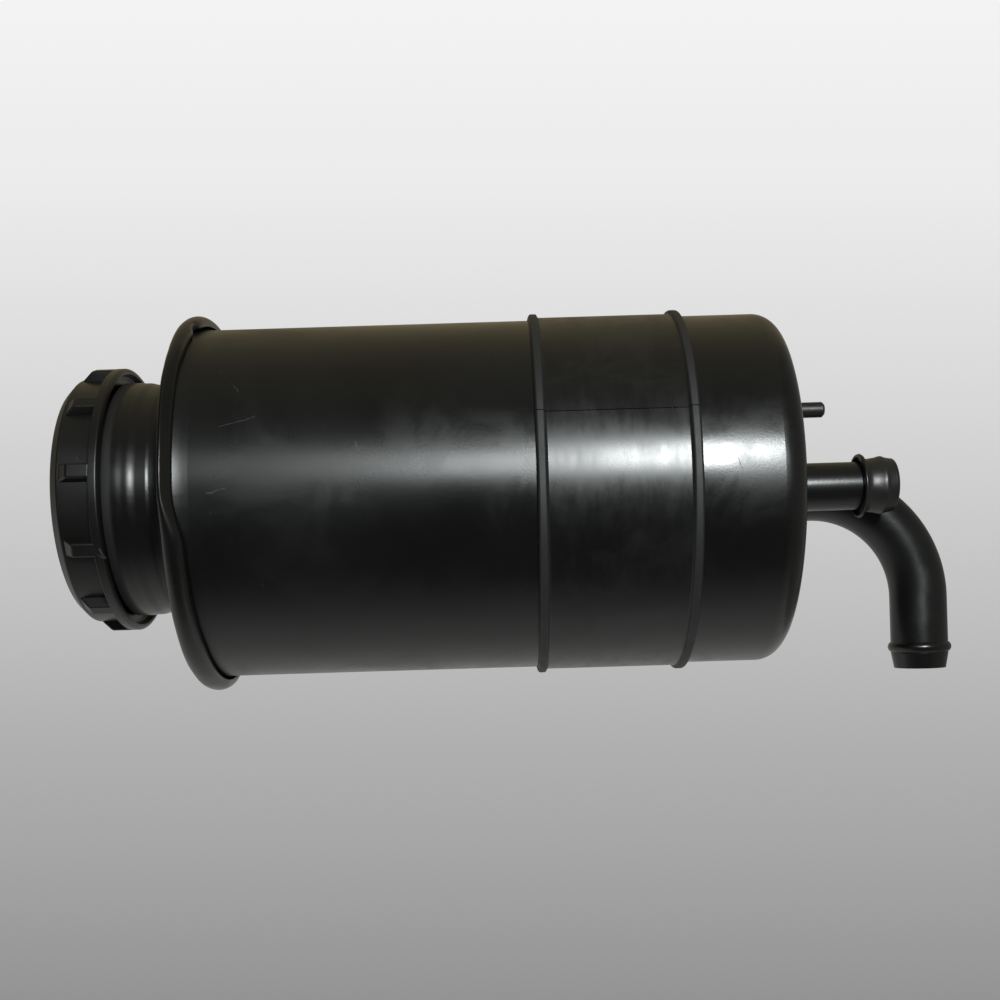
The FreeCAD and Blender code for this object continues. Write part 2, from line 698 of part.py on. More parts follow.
def make_grommet():
    body = new_body("filter_grommet")
    flange = hub_radius + " + grommet_flange"
    under = filter_foot + " - grommet_sheet"
    sheet_top = filter_foot + " + cap_sheet"
    turned(body, "grommet", [
        (hub_bore, under),
        (flange, under),
        (flange, filter_foot),
        (hub_radius, filter_foot),
        (hub_radius, sheet_top),
        (flange, sheet_top),
        (flange, sheet_top + " + grommet_sheet"),
        (hub_bore, sheet_top + " + grommet_sheet"),
    ])


def make_core():
    body = new_body("filter_core")
    low = filter_foot + " + cap_sheet"
    high = filter_top + " - cap_sheet"
    turned(body, "core", [
        (core_radius + " - core_wall", low),
        (core_radius, low),
        (core_radius, high),
        (core_radius + " - core_wall", high),
    ])
    holes = new_sketch(body, "core_holes")
    for row in range(int(value("core_rows"))):
        height = "%s + (filter_length - 2 * cap_sheet) * %d / (core_rows + 1)" % (low, row + 1)
        draw_circle(holes, "hole%d" % row, "0", height, "core_hole")
    drilled = cut_through(body, holes, "core_holes_cut", symmetric=True)
    polar(body, drilled, "core_columns_cut", "core_columns / 2", "360 / core_columns * (core_columns / 2 - 1)")


def make_paper():
    """The folded paper: a zigzag wall that closes on itself."""
    count = int(value("pleat_count"))
    outer = value("paper_radius")
    inner = value("paper_radius - paper_depth")
    low = value(filter_foot + " + cap_sheet")
    high = value(filter_top + " - cap_sheet")

    def zigzag(inset):
        corners = []
        for step in range(2 * count):
            radius = (inner if step % 2 else outer) - inset
            angle = math.pi * step / count
            corners.append(FreeCAD.Vector(radius * math.cos(angle), radius * math.sin(angle), low))
        return Part.Face(Part.makePolygon(corners + corners[:1]))

    wall = zigzag(0).cut(zigzag(value("paper_wall")))
    paper = doc.addObject("Part::Feature", "filter_paper")
    paper.Label = "filter_paper"
    paper.Shape = wall.Faces[0].extrude(FreeCAD.Vector(0, 0, high - low))
    paper.Placement = FreeCAD.Placement()
    sub_parts.append(paper)


def make_relief_valve():
    disc = new_body("bypass_disc")
    turned(disc, "disc", [
        ("0", valve_seat),
        (disc_radius, valve_seat),
        (disc_radius, valve_seat + " + disc_sheet"),
        ("0", valve_seat + " + disc_sheet"),
    ])
    cage = new_body("bypass_cage")
    cage_top = valve_seat + " + cage_height"
    wall = cage_bore + " + cage_sheet"
    turned(cage, "cage", [
        (cage_bore, valve_seat),
        (wall + " + cage_foot", valve_seat),
        (wall + " + cage_foot", valve_seat + " + cage_sheet"),
        (wall, valve_seat + " + cage_sheet"),
        (wall, cage_top),
        ("cage_vent", cage_top),
        ("cage_vent", cage_top + " - cage_sheet"),
        (cage_bore, cage_top + " - cage_sheet"),
    ])
    window = new_sketch(cage, "window")
    sill = valve_seat + " + window_sill"
    draw(window, [
        ("-window_width / 2", sill),
        ("window_width / 2", sill),
        ("window_width / 2", sill + " + window_height"),
        ("-window_width / 2", sill + " + window_height"),
    ])
    opening = cut_through(cage, window, "windows_cut", symmetric=True)
    polar(cage, opening, "windows_round", "2", "90")
    make_coil("bypass_spring", "valve_spring_radius", "valve_spring_wire",
              valve_seat + " + disc_sheet", cage_top + " - cage_sheet", "valve_spring_turns")


make_can()
make_cover()
make_sleeve()
make_return_pipe()
make_suction_pipe()
make_locating_pin()
make_dust_cap()
make_screw_cap()
make_gasket()
make_dipstick()
make_spring_plate()
make_coil("hold_down_spring", "spring_radius", "spring_wire", filter_top, plate_under,
          "spring_turns", x="neck_offset / 2")
make_end_caps()
make_grommet()
make_core()
make_paper()
make_relief_valve()
doc.recompute()

for item in doc.Objects:
    if "Invalid" in item.State or "Error" in item.State:
        raise RuntimeError("%s did not build: %s" % (item.Label, item.State))
for part in sub_parts:
    if part.Shape.isNull() or not part.Shape.isValid():
        raise RuntimeError(part.Label + " has no valid shape")
    if len(part.Shape.Solids) != 1:
        raise RuntimeError("%s is %d solids" % (part.Label, len(part.Shape.Solids)))

os.makedirs("parts", exist_ok=True)
for part in sub_parts:
    part.Shape.exportStep(os.path.join("parts", part.Label + ".step"))
    print("%-18s %10.1f mm3" % (part.Label, part.Shape.Volume))
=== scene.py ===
"""Looks of a power steering reservoir: paint, rubber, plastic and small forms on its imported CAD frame."""
import math

import bmesh
import bpy
from mathutils import Matrix, Vector, noise


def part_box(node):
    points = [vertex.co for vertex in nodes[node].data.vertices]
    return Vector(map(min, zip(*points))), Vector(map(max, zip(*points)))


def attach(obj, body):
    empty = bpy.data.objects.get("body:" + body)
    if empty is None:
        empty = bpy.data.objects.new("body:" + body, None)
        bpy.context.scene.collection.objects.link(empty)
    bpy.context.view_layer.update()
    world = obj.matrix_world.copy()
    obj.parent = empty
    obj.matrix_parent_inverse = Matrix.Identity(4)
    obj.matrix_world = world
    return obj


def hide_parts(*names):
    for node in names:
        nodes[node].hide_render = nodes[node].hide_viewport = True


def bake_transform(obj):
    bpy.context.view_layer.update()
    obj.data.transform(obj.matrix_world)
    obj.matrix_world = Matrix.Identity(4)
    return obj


MM = 0.001
FULL_TURN = 2 * math.pi
ORIGIN = Vector((0, 0, 0))
MERGE_DISTANCE = 1e-6

# The photograph's camera: its place in metres, its roll and its lens
CAMERA_AT = (-0.03632, -0.43736, 0.03767)
ROLL = math.radians(1.74)
LENS = 44.8
LENS_SHIFT = 0.1

# Sizes in millimetres that more than one piece or finish uses
SLEEVE_RIB = 3.4
THREAD_LEAD = 6.0

# Grip ribs of the filler cap, their turn on the closed cap and how they widen towards their root
RIB_COUNT = 11
RIB_TURN = math.radians(15.8)
RIB_DRAFT = 0.2

# The clamp sleeve's joint: its gap and its direction, in degrees
JOINT_GAP = 0.25
JOINT_TURN = 290.2

bpy.ops.wm.read_factory_settings(use_empty=True)
scene = bpy.context.scene
scene.view_settings.view_transform = "Standard"
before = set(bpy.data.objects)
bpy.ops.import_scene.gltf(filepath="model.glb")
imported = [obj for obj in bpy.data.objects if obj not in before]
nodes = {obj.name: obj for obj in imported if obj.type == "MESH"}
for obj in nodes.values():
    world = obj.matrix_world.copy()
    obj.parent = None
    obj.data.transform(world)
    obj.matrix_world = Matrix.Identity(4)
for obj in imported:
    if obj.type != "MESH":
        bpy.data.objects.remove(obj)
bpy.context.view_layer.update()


# Building blocks for turned and moulded pieces

def section(bm, outline, centre):
    """An outline of (radius, height) in millimetres beside an upright axis, left open along the axis."""
    verts = [bm.verts.new((centre.x + radius * MM, centre.y, height * MM)) for radius, height in outline]
    edges = []
    for i in range(len(verts)):
        if outline[i - 1][0] > 0 or outline[i][0] > 0:
            edges.append(bm.edges.new((verts[i - 1], verts[i])))
    return verts + edges


def spin_full(bm, outline, centre, steps):
    """Turns the outline once round its axis into a closed ring."""
    bmesh.ops.spin(bm, geom=section(bm, outline, centre), cent=centre, axis=(0, 0, 1), angle=FULL_TURN,
                   steps=steps, use_merge=True)
    bmesh.ops.remove_doubles(bm, verts=bm.verts, dist=MERGE_DISTANCE)
    bmesh.ops.recalc_face_normals(bm, faces=bm.faces)


def round_edges(bm, width, segments=3, sharper_than=30):
    """Bevels every edge that is sharper than the given angle."""
    sharp = [edge for edge in bm.edges
             if len(edge.link_faces) == 2 and edge.calc_face_angle() > math.radians(sharper_than)]
    bmesh.ops.bevel(bm, geom=sharp, offset=width * MM, offset_type="OFFSET", segments=segments, profile=0.5,
                    affect="EDGES", material=-1, clamp_overlap=True)
    bmesh.ops.remove_doubles(bm, verts=bm.verts, dist=MERGE_DISTANCE)


def join_in(bm, other):
    """Adds another mesh to this one and frees the other."""
    spare = bpy.data.meshes.new("joined")
    other.to_mesh(spare)
    other.free()
    bm.from_mesh(spare)
    bpy.data.meshes.remove(spare)


def new_piece(name, bm, body, material):
    """A smoothly shaded piece that rides on a body, or on none."""
    mesh = bpy.data.meshes.new(name)
    bm.to_mesh(mesh)
    bm.free()
    mesh.shade_smooth()
    piece = bpy.data.objects.new(name, mesh)
    scene.collection.objects.link(piece)
    mesh.materials.append(material)
    even = piece.modifiers.new("even shading", "WEIGHTED_NORMAL")
    even.weight = 80
    even.keep_sharp = True
    if body:
        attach(piece, body)
    return piece


def middle_of(node):
    """The upright axis of a turned CAD node."""
    low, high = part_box(node)
    return Vector(((low.x + high.x) / 2, (low.y + high.y) / 2, 0))


# Node helpers

def link(tree, source, target):
    tree.links.new(source, target)


def new_material(name):
    material = bpy.data.materials.new(name)
    material.use_nodes = True
    tree = material.node_tree
    shader = tree.nodes["Principled BSDF"]
    coords = tree.nodes.new("ShaderNodeTexCoord")
    return material, tree, shader, coords.outputs["Object"]


def new_group(name, inputs, outputs):
    """A node group with inputs of (label, kind, start value) and outputs of (label, kind)."""
    group = bpy.data.node_groups.new(name, "ShaderNodeTree")
    for label, kind, start in inputs:
        socket = group.interface.new_socket(label, in_out="INPUT", socket_type=kind)
        if start is not None:
            socket.default_value = start
    for label, kind in outputs:
        group.interface.new_socket(label, in_out="OUTPUT", socket_type=kind)
    return group, group.nodes.new("NodeGroupInput"), group.nodes.new("NodeGroupOutput")


def place(tree, group, vector, **values):
    """Puts a node group in a material with its own values."""
    node = tree.nodes.new("ShaderNodeGroup")
    node.node_tree = group
    link(tree, vector, node.inputs["Vector"])
    for label, value in values.items():
        node.inputs[label.replace("_", " ")].default_value = value
    return node


def math_node(tree, operation, first, second=None, clamp=False):
    node = tree.nodes.new("ShaderNodeMath")
    node.operation = operation
    node.use_clamp = clamp
    for index, value in enumerate((first, second)):
        if value is None:
            continue
        if isinstance(value, (int, float)):
            node.inputs[index].default_value = value
        else:
            link(tree, value, node.inputs[index])
    return node.outputs["Value"]


def ramp(tree, value, stops):
    """A smooth change over a range, given as from low, from high, to low and to high."""
    node = tree.nodes.new("ShaderNodeMapRange")
    node.interpolation_type = "SMOOTHSTEP"
    link(tree, value, node.inputs["Value"])
    for label, number in zip(("From Min", "From Max", "To Min", "To Max"), stops):
        node.inputs[label].default_value = number
    return node.outputs["Result"]


def noise_node(tree, vector, scale, detail=3.0, roughness=0.55, stretch=None):
    texture = tree.nodes.new("ShaderNodeTexNoise")
    texture.inputs["Scale"].default_value = scale
    texture.inputs["Detail"].default_value = detail
    texture.inputs["Roughness"].default_value = roughness
    if stretch:
        mapping = tree.nodes.new("ShaderNodeMapping")
        mapping.inputs["Scale"].default_value = stretch
        link(tree, vector, mapping.inputs["Vector"])
        vector = mapping.outputs["Vector"]
    link(tree, vector, texture.inputs["Vector"])
    return texture.outputs["Fac"]


def mix_colour(tree, factor, first, second):
    node = tree.nodes.new("ShaderNodeMix")
    node.data_type = "RGBA"
    link(tree, factor, node.inputs["Factor"])
    for socket, value in ((node.inputs["A"], first), (node.inputs["B"], second)):
        if isinstance(value, tuple):
            socket.default_value = value
        else:
            link(tree, value, socket)
    return node.outputs["Result"]


def bump(tree, height, strength, distance, under=None):
    node = tree.nodes.new("ShaderNodeBump")
    node.inputs["Strength"].default_value = strength
    node.inputs["Distance"].default_value = distance
    link(tree, height, node.inputs["Height"])
    if under:
        link(tree, under, node.inputs["Normal"])
    return node.outputs["Normal"]


# Shared surface effects

def make_orange_peel():
    """Sprayed paint: a fine ripple and a finer grain."""
    group, start, end = new_group("orange peel", (("Vector", "NodeSocketVector", None),
                                                  ("Ripple", "NodeSocketFloat", 900.0),
                                                  ("Grain", "NodeSocketFloat", 4200.0)),
                                  (("Height", "NodeSocketFloat"),))
    ripple = group.nodes.new("ShaderNodeTexNoise")
    grain = group.nodes.new("ShaderNodeTexNoise")
    for texture, label in ((ripple, "Ripple"), (grain, "Grain")):
        link(group, start.outputs["Vector"], texture.inputs["Vector"])
        link(group, start.outputs[label], texture.inputs["Scale"])
        texture.inputs["Detail"].default_value = 2.0
    fine = math_node(group, "MULTIPLY", grain.outputs["Fac"], 0.35)
    link(group, math_node(group, "ADD", ripple.outputs["Fac"], fine), end.inputs["Height"])
    return group


def make_handling():
    """Soft smears and finger marks that change the gloss."""
    group, start, end = new_group("handling marks", (("Vector", "NodeSocketVector", None),
                                                     ("Size", "NodeSocketFloat", 60.0)),
                                  (("Smears", "NodeSocketFloat"), ("Specks", "NodeSocketFloat")))
    broad = group.nodes.new("ShaderNodeTexNoise")
    link(group, start.outputs["Vector"], broad.inputs["Vector"])
    link(group, start.outputs["Size"], broad.inputs["Scale"])
    broad.inputs["Detail"].default_value = 5.0
    broad.inputs["Roughness"].default_value = 0.62
    broad.inputs["Distortion"].default_value = 0.8
    link(group, ramp(group, broad.outputs["Fac"], (0.42, 0.68, 0.0, 1.0)), end.inputs["Smears"])
    dots = group.nodes.new("ShaderNodeTexVoronoi")
    link(group, start.outputs["Vector"], dots.inputs["Vector"])
    dots.inputs["Scale"].default_value = 260.0
    thin = group.nodes.new("ShaderNodeTexNoise")
    link(group, start.outputs["Vector"], thin.inputs["Vector"])
    thin.inputs["Scale"].default_value = 70.0
    near = ramp(group, dots.outputs["Distance"], (0.05, 0.09, 1.0, 0.0))
    few = ramp(group, thin.outputs["Fac"], (0.64, 0.76, 0.0, 1.0))
    link(group, math_node(group, "MULTIPLY", near, few), end.inputs["Specks"])
    return group


def make_scratch():
    """One short scratch on the front of the can, as a mask. Its place is along X and Z."""
    group, start, end = new_group("scratch", (("Vector", "NodeSocketVector", None),
                                              ("Across", "NodeSocketFloat", 0.0),
                                              ("Along", "NodeSocketFloat", 0.0),
                                              ("Turn", "NodeSocketFloat", 0.0),
                                              ("Length", "NodeSocketFloat", 0.01),
                                              ("Width", "NodeSocketFloat", 0.0003)),
                                  (("Mask", "NodeSocketFloat"),))
    split = group.nodes.new("ShaderNodeSeparateXYZ")
    wobble = group.nodes.new("ShaderNodeTexNoise")
    wobble.inputs["Scale"].default_value = 240.0
    link(group, start.outputs["Vector"], wobble.inputs["Vector"])
    link(group, start.outputs["Vector"], split.inputs["Vector"])
    across = math_node(group, "SUBTRACT", split.outputs["X"], start.outputs["Across"])
    along = math_node(group, "SUBTRACT", split.outputs["Z"], start.outputs["Along"])
    cosine = math_node(group, "COSINE", start.outputs["Turn"])
    sine = math_node(group, "SINE", start.outputs["Turn"])
    run = math_node(group, "ADD", math_node(group, "MULTIPLY", across, sine),
                    math_node(group, "MULTIPLY", along, cosine))
    off = math_node(group, "SUBTRACT", math_node(group, "MULTIPLY", across, cosine),
                    math_node(group, "MULTIPLY", along, sine))
    uneven = math_node(group, "SUBTRACT", wobble.outputs["Fac"], 0.5)
    bend = math_node(group, "MULTIPLY", uneven, 1.6 * MM)
    off = math_node(group, "ABSOLUTE", math_node(group, "ADD", off, bend))
    share = math_node(group, "DIVIDE", off, start.outputs["Width"])
    line = math_node(group, "SUBTRACT", 1.0, share, clamp=True)
    half = math_node(group, "MULTIPLY", start.outputs["Length"], 0.5)
    inside = math_node(group, "LESS_THAN", math_node(group, "ABSOLUTE", run), half)
    front = math_node(group, "LESS_THAN", split.outputs["Y"], 0.0)
    patch = ramp(group, wobble.outputs["Fac"], (0.4, 0.52, 0.0, 1.0))
    mask = math_node(group, "MULTIPLY", math_node(group, "MULTIPLY", line, inside),
                     math_node(group, "MULTIPLY", front, patch))
    link(group, mask, end.inputs["Mask"])
    return group


orange_peel = make_orange_peel()
handling = make_handling()
scratch = make_scratch()


# Finishes

def shade(colour, factor):
    """The same colour, lighter or darker."""
    return tuple(channel * factor for channel in colour[:3]) + (1.0,)


def add_scratches(tree, vector, marks):
    """Adds up scratches, each given as across, along, turn in degrees, length and width."""
    total = None
    for across, along, turn, length, width in marks:
        node = place(tree, scratch, vector, Across=across * MM, Along=along * MM, Turn=math.radians(turn),
                     Length=length * MM, Width=width * MM)
        mask = node.outputs["Mask"]
        total = mask if total is None else math_node(tree, "MAXIMUM", total, mask)
    return total


# Across and along in millimetres from the origin, turn in degrees, length and width in millimetres
CAN_SCRATCHES = (
    (34.7, 120.2, 47.7, 10.4, 0.17),
    (20.8, 116.5, -15.5, 11.6, 0.15),
    (-0.6, 123.1, -14.5, 6.4, 0.28),
    (9.2, 81.9, 80, 6.0, 0.17),
    (11.5, 79.5, 70, 4.0, 0.17),
    (18.8, 36.0, 85, 2.2, 0.3),
    (3.0, -36.5, 70, 4.0, 0.2),
)
CAP_SCUFFS = ((-17.6, 163.9, 70, 3.4, 0.5), (-18.6, 164.6, 20, 2.6, 0.35), (13.0, 171.0, 60, 2.0, 0.15))


def belt(tree, vector, low, high, soft=0.3):
    """A mask over one length of the axis, in millimetres."""
    split = tree.nodes.new("ShaderNodeSeparateXYZ")
    link(tree, vector, split.inputs["Vector"])
    rising = ramp(tree, split.outputs["Z"], ((low - soft) * MM, (low + soft) * MM, 0.0, 1.0))
    falling = ramp(tree, split.outputs["Z"], ((high - soft) * MM, (high + soft) * MM, 1.0, 0.0))
    return math_node(tree, "MULTIPLY", rising, falling)


def satin_paint(name, colour, gloss, ripple, marks=None, dull_belt=None, fade=0.0):
    """Sprayed black paint with uneven gloss and specks, with scratches, a dull belt or a fade where given."""
    material, tree, shader, vector = new_material(name)
    peel = place(tree, orange_peel, vector, Ripple=ripple, Grain=ripple * 4.5)
    touch = place(tree, handling, vector, Size=38.0)
    cloud = noise_node(tree, vector, 22.0, 4.0)
    tint = mix_colour(tree, ramp(tree, cloud, (0.3, 0.7, 0.0, 1.0)), colour, shade(colour, 1.45))
    worn = touch.outputs["Specks"]
    if marks:
        worn = math_node(tree, "MAXIMUM", worn, add_scratches(tree, vector, marks))
    tint = mix_colour(tree, math_node(tree, "MULTIPLY", worn, 0.16), tint, (0.2, 0.2, 0.195, 1.0))
    dull = math_node(tree, "MULTIPLY", touch.outputs["Smears"], 0.09)
    gloss_map = math_node(tree, "ADD", dull, ramp(tree, cloud, (0.25, 0.75, gloss - 0.03, gloss + 0.03)))
    if fade:
        split = tree.nodes.new("ShaderNodeSeparateXYZ")
        link(tree, vector, split.inputs["Vector"])
        far = ramp(tree, split.outputs["Z"], (30 * MM, 130 * MM, 0.0, fade))
        gloss_map = math_node(tree, "ADD", gloss_map, far)
    if dull_belt:
        around = belt(tree, vector, *dull_belt)
        tint = mix_colour(tree, around, tint, (0.013, 0.013, 0.012, 1.0))
        gloss_map = math_node(tree, "ADD", gloss_map, math_node(tree, "MULTIPLY", around, 0.28))
    link(tree, tint, shader.inputs["Base Color"])
    gloss_map = math_node(tree, "ADD", gloss_map, math_node(tree, "MULTIPLY", worn, 0.2))
    link(tree, gloss_map, shader.inputs["Roughness"])
    link(tree, bump(tree, peel.outputs["Height"], 0.2, 0.00006), shader.inputs["Normal"])
    return material


def smooth_rubber(name, colour, gloss, ribs=None):
    """Handled rubber: dull film with wiped, glossier smears, and dull ribs."""
    material, tree, shader, vector = new_material(name)
    touch = place(tree, handling, vector, Size=55.0)
    strokes = noise_node(tree, vector, 120.0, 4.0, 0.6, stretch=(0.5, 1.0, 2.2))
    patches = noise_node(tree, vector, 42.0, 6.0, 0.68)
    film = math_node(tree, "ADD", math_node(tree, "MULTIPLY", patches, 0.6),
                     math_node(tree, "MULTIPLY", strokes, 0.4))
    tint = mix_colour(tree, touch.outputs["Smears"], colour, shade(colour, 2.2))
    specks = math_node(tree, "MULTIPLY", touch.outputs["Specks"], 0.3)
    tint = mix_colour(tree, specks, tint, (0.18, 0.18, 0.175, 1.0))
    smear = ramp(tree, film, (0.38, 0.66, gloss - 0.03, gloss + 0.07))
    if ribs:
        edges = math_node(tree, "MAXIMUM", belt(tree, vector, *ribs[0]), belt(tree, vector, *ribs[1]))
        tint = mix_colour(tree, edges, tint, (0.009, 0.0093, 0.009, 1.0))
        smear = math_node(tree, "ADD", smear, math_node(tree, "MULTIPLY", edges, 0.3))
    link(tree, tint, shader.inputs["Base Color"])
    link(tree, smear, shader.inputs["Roughness"])
    link(tree, bump(tree, film, 0.08, 0.0002), shader.inputs["Normal"])
    return material


def moulded_plastic(name, colour, gloss, grain, marks=None):
    """Moulded plastic with a fine spark-eroded grain and, on the cap, a scuff."""
    material, tree, shader, vector = new_material(name)
    skin = noise_node(tree, vector, grain, 2.0)
    cloud = noise_node(tree, vector, 45.0, 4.0)
    touch = place(tree, handling, vector, Size=70.0)
    tint = mix_colour(tree, ramp(tree, cloud, (0.3, 0.7, 0.0, 1.0)), colour, shade(colour, 1.5))
    worn = touch.outputs["Specks"]
    if marks:
        worn = math_node(tree, "MAXIMUM", worn, add_scratches(tree, vector, marks))
    tint = mix_colour(tree, math_node(tree, "MULTIPLY", worn, 0.28), tint, (0.16, 0.16, 0.155, 1.0))
    link(tree, tint, shader.inputs["Base Color"])
    link(tree, ramp(tree, cloud, (0.25, 0.75, gloss - 0.06, gloss + 0.06)), shader.inputs["Roughness"])
    link(tree, bump(tree, skin, 0.25, 0.00008), shader.inputs["Normal"])
    return material


def bare_metal(name, colour, gloss, stretch):
    """Plated or drawn metal with faint marks along its working direction."""
    material, tree, shader, vector = new_material(name)
    drawn = noise_node(tree, vector, 160.0, 3.0, 0.6, stretch=stretch)
    stain = noise_node(tree, vector, 40.0, 4.0)
    stained = mix_colour(tree, ramp(tree, stain, (0.3, 0.7, 0.0, 1.0)), colour, shade(colour, 0.72))
    link(tree, stained, shader.inputs["Base Color"])
    shader.inputs["Metallic"].default_value = 1.0
    link(tree, ramp(tree, drawn, (0.3, 0.7, gloss - 0.08, gloss + 0.1)), shader.inputs["Roughness"])
    link(tree, bump(tree, drawn, 0.08, 0.0001), shader.inputs["Normal"])
    return material


def pleated_paper(name):
    """Resin paper of the filter, with fibres and a darker resin tone in places."""
    material, tree, shader, vector = new_material(name)
    fibre = noise_node(tree, vector, 900.0, 4.0, 0.7, stretch=(1.0, 1.0, 0.35))
    tone = noise_node(tree, vector, 50.0, 3.0)
    resin = mix_colour(tree, tone, (0.62, 0.47, 0.24, 1.0), (0.76, 0.63, 0.38, 1.0))
    link(tree, resin, shader.inputs["Base Color"])
    shader.inputs["Roughness"].default_value = 0.85
    link(tree, bump(tree, fibre, 0.35, 0.0002), shader.inputs["Normal"])
    return material


sleeve_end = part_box("clamp_sleeve")[1].z / MM
rib_belts = ((-sleeve_end, SLEEVE_RIB - sleeve_end), (sleeve_end - SLEEVE_RIB, sleeve_end))
neck_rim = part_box("top_cover")[1].z / MM
stop_belt = (neck_rim - 15.5, neck_rim - 11.9, 0.8)
can_black = satin_paint("can satin black", (0.0026, 0.0027, 0.0025, 1.0), 0.22, 1100.0,
                        marks=CAN_SCRATCHES, fade=0.07)
cover_black = satin_paint("cover satin black", (0.003, 0.003, 0.0027, 1.0), 0.25, 900.0, dull_belt=stop_belt)
pipe_black = satin_paint("pipe gloss black", (0.003, 0.003, 0.003, 1.0), 0.27, 700.0)
pin_black = satin_paint("pin dull black", (0.008, 0.008, 0.0078, 1.0), 0.42, 700.0)
sleeve_rubber = smooth_rubber("sleeve rubber", (0.003, 0.003, 0.0029, 1.0), 0.28, rib_belts)
cap_plastic = moulded_plastic("cap plastic", (0.004, 0.0039, 0.0035, 1.0), 0.36, 2600.0, CAP_SCUFFS)
transit_vinyl = moulded_plastic("transit cap vinyl", (0.008, 0.0079, 0.0074, 1.0), 0.37, 1800.0)
seal_rubber = moulded_plastic("seal rubber", (0.014, 0.014, 0.014, 1.0), 0.55, 2200.0)
spring_steel = bare_metal("spring wire", (0.42, 0.42, 0.44, 1.0), 0.3, (1.0, 1.0, 6.0))
plated_sheet = bare_metal("tinned sheet", (0.62, 0.61, 0.58, 1.0), 0.34, (1.0, 4.0, 1.0))
paper = pleated_paper("filter paper")

FINISHES = {
    "can_body": can_black, "top_cover": cover_black, "return_pipe": pipe_black, "suction_pipe": pipe_black,
    "locating_pin": pin_black, "clamp_sleeve": sleeve_rubber, "return_dust_cap": transit_vinyl,
    "screw_cap": cap_plastic, "cap_gasket": seal_rubber, "filter_grommet": seal_rubber,
    "dipstick": plated_sheet, "spring_plate": plated_sheet, "filter_lower_cap": plated_sheet,
    "filter_upper_cap": plated_sheet, "filter_core": plated_sheet, "bypass_disc": plated_sheet,
    "bypass_cage": plated_sheet, "hold_down_spring": spring_steel, "bypass_spring": spring_steel,
    "filter_paper": paper,
}
for node_name, finish in FINISHES.items():
    mesh = nodes[node_name].data
    mesh.materials.clear()
    mesh.materials.append(finish)


# Pieces with finer forms than their solids

def make_filler_cap():
    """The screw cap with rounded grip ribs, a recessed face and its inner thread."""
    low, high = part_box("screw_cap")
    centre = middle_of("screw_cap")
    ring = (high.y - low.y) / 2 / MM
    foot = low.z / MM
    top = high.z / MM
    skirt = ring - 3.3
    bore = skirt - 2.4
    roof = top - 2.5
    panel = top - 0.6
    raised = top - 0.2
    boss_foot = roof - 10.5
    bm = bmesh.new()
    spin_full(bm, [
        (0.0, roof), (3.16, roof), (3.16, boss_foot), (8.0, boss_foot), (8.0, roof), (bore, roof),
        (bore, foot + 2.4), (ring - 2.6, foot + 2.4), (ring - 1.9, foot), (ring - 1.0, foot),
        (ring, foot + 0.9), (ring, foot + 3.6), (skirt, foot + 3.6), (skirt, top - 3.0), (skirt - 3.0, top),
        (31.0, top), (30.4, panel), (24.0, panel), (23.4, raised), (22.0, raised), (21.4, panel),
        (0.0, panel),
    ], centre, 180)
    round_edges(bm, 0.4, 3, 25)
    join_in(bm, make_grip_ribs(centre, ring, skirt, foot))
    thread = [(bore + 0.1, -0.9), (bore - 0.32, -0.25), (bore - 0.32, 0.25), (bore + 0.1, 0.9)]
    add_thread(bm, centre, thread, foot + 5.6, 1.1)
    cap = new_piece("filler_cap_shell", bm, "filler_cap", cap_plastic)
    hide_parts("screw_cap")
    return cap


def make_grip_ribs(centre, ring, skirt, foot):
    """The ribs round the cap's skirt, wider at their root and sloped at their front end."""
    ribs = bmesh.new()
    root = skirt - 1.2
    front = foot + 13.7
    side = [(root, foot + 3.0), (ring, foot + 3.0), (ring, foot + 10.4), (skirt, front), (root, front)]
    half = 2.3 * MM
    corners = []
    for radius, height in side:
        corners.append(ribs.verts.new((centre.x + radius * MM, centre.y - half, height * MM)))
    face = ribs.faces.new(corners)
    grown = bmesh.ops.extrude_face_region(ribs, geom=[face])
    moved = [item for item in grown["geom"] if isinstance(item, bmesh.types.BMVert)]
    bmesh.ops.translate(ribs, vec=(0, 2 * half, 0), verts=moved)
    for vert in ribs.verts:
        depth = ring - (vert.co.x - centre.x) / MM
        vert.co.y += math.copysign(depth * RIB_DRAFT * MM, vert.co.y - centre.y)
    bmesh.ops.recalc_face_normals(ribs, faces=ribs.faces)
    round_edges(ribs, 0.8, 4, 20)
    more = RIB_COUNT - 1
    bmesh.ops.spin(ribs, geom=ribs.verts[:] + ribs.edges[:] + ribs.faces[:], cent=centre, axis=(0, 0, 1),
                   angle=FULL_TURN * more / RIB_COUNT, steps=more, use_duplicate=True)
    bmesh.ops.rotate(ribs, cent=centre, matrix=Matrix.Rotation(RIB_TURN, 3, "Z"), verts=ribs.verts)
    return ribs


def add_thread(bm, centre, outline, start, turns):
    """Winds a closed outline, given about its own height, round the axis with the thread's lead."""
    steps = int(96 * turns)
    shape = section(bm, [(radius, start + height) for radius, height in outline], centre)
    old = set(bm.faces)
    rise = THREAD_LEAD * turns / steps * MM
    bmesh.ops.spin(bm, geom=shape, cent=centre, axis=(0, 0, 1), dvec=(0, 0, rise),
                   angle=FULL_TURN * turns, steps=steps)
    bmesh.ops.holes_fill(bm, edges=[edge for edge in bm.edges if edge.is_boundary], sides=8)
    bmesh.ops.recalc_face_normals(bm, faces=[face for face in bm.faces if face not in old])


def arc(centre, radius, start, end, steps):
    """Points on an arc in the (radius, height) plane, angles in degrees."""
    points = []
    for i in range(steps + 1):
        angle = math.radians(start + (end - start) * i / steps)
        points.append((centre[0] + radius * math.cos(angle), centre[1] + radius * math.sin(angle)))
    return points


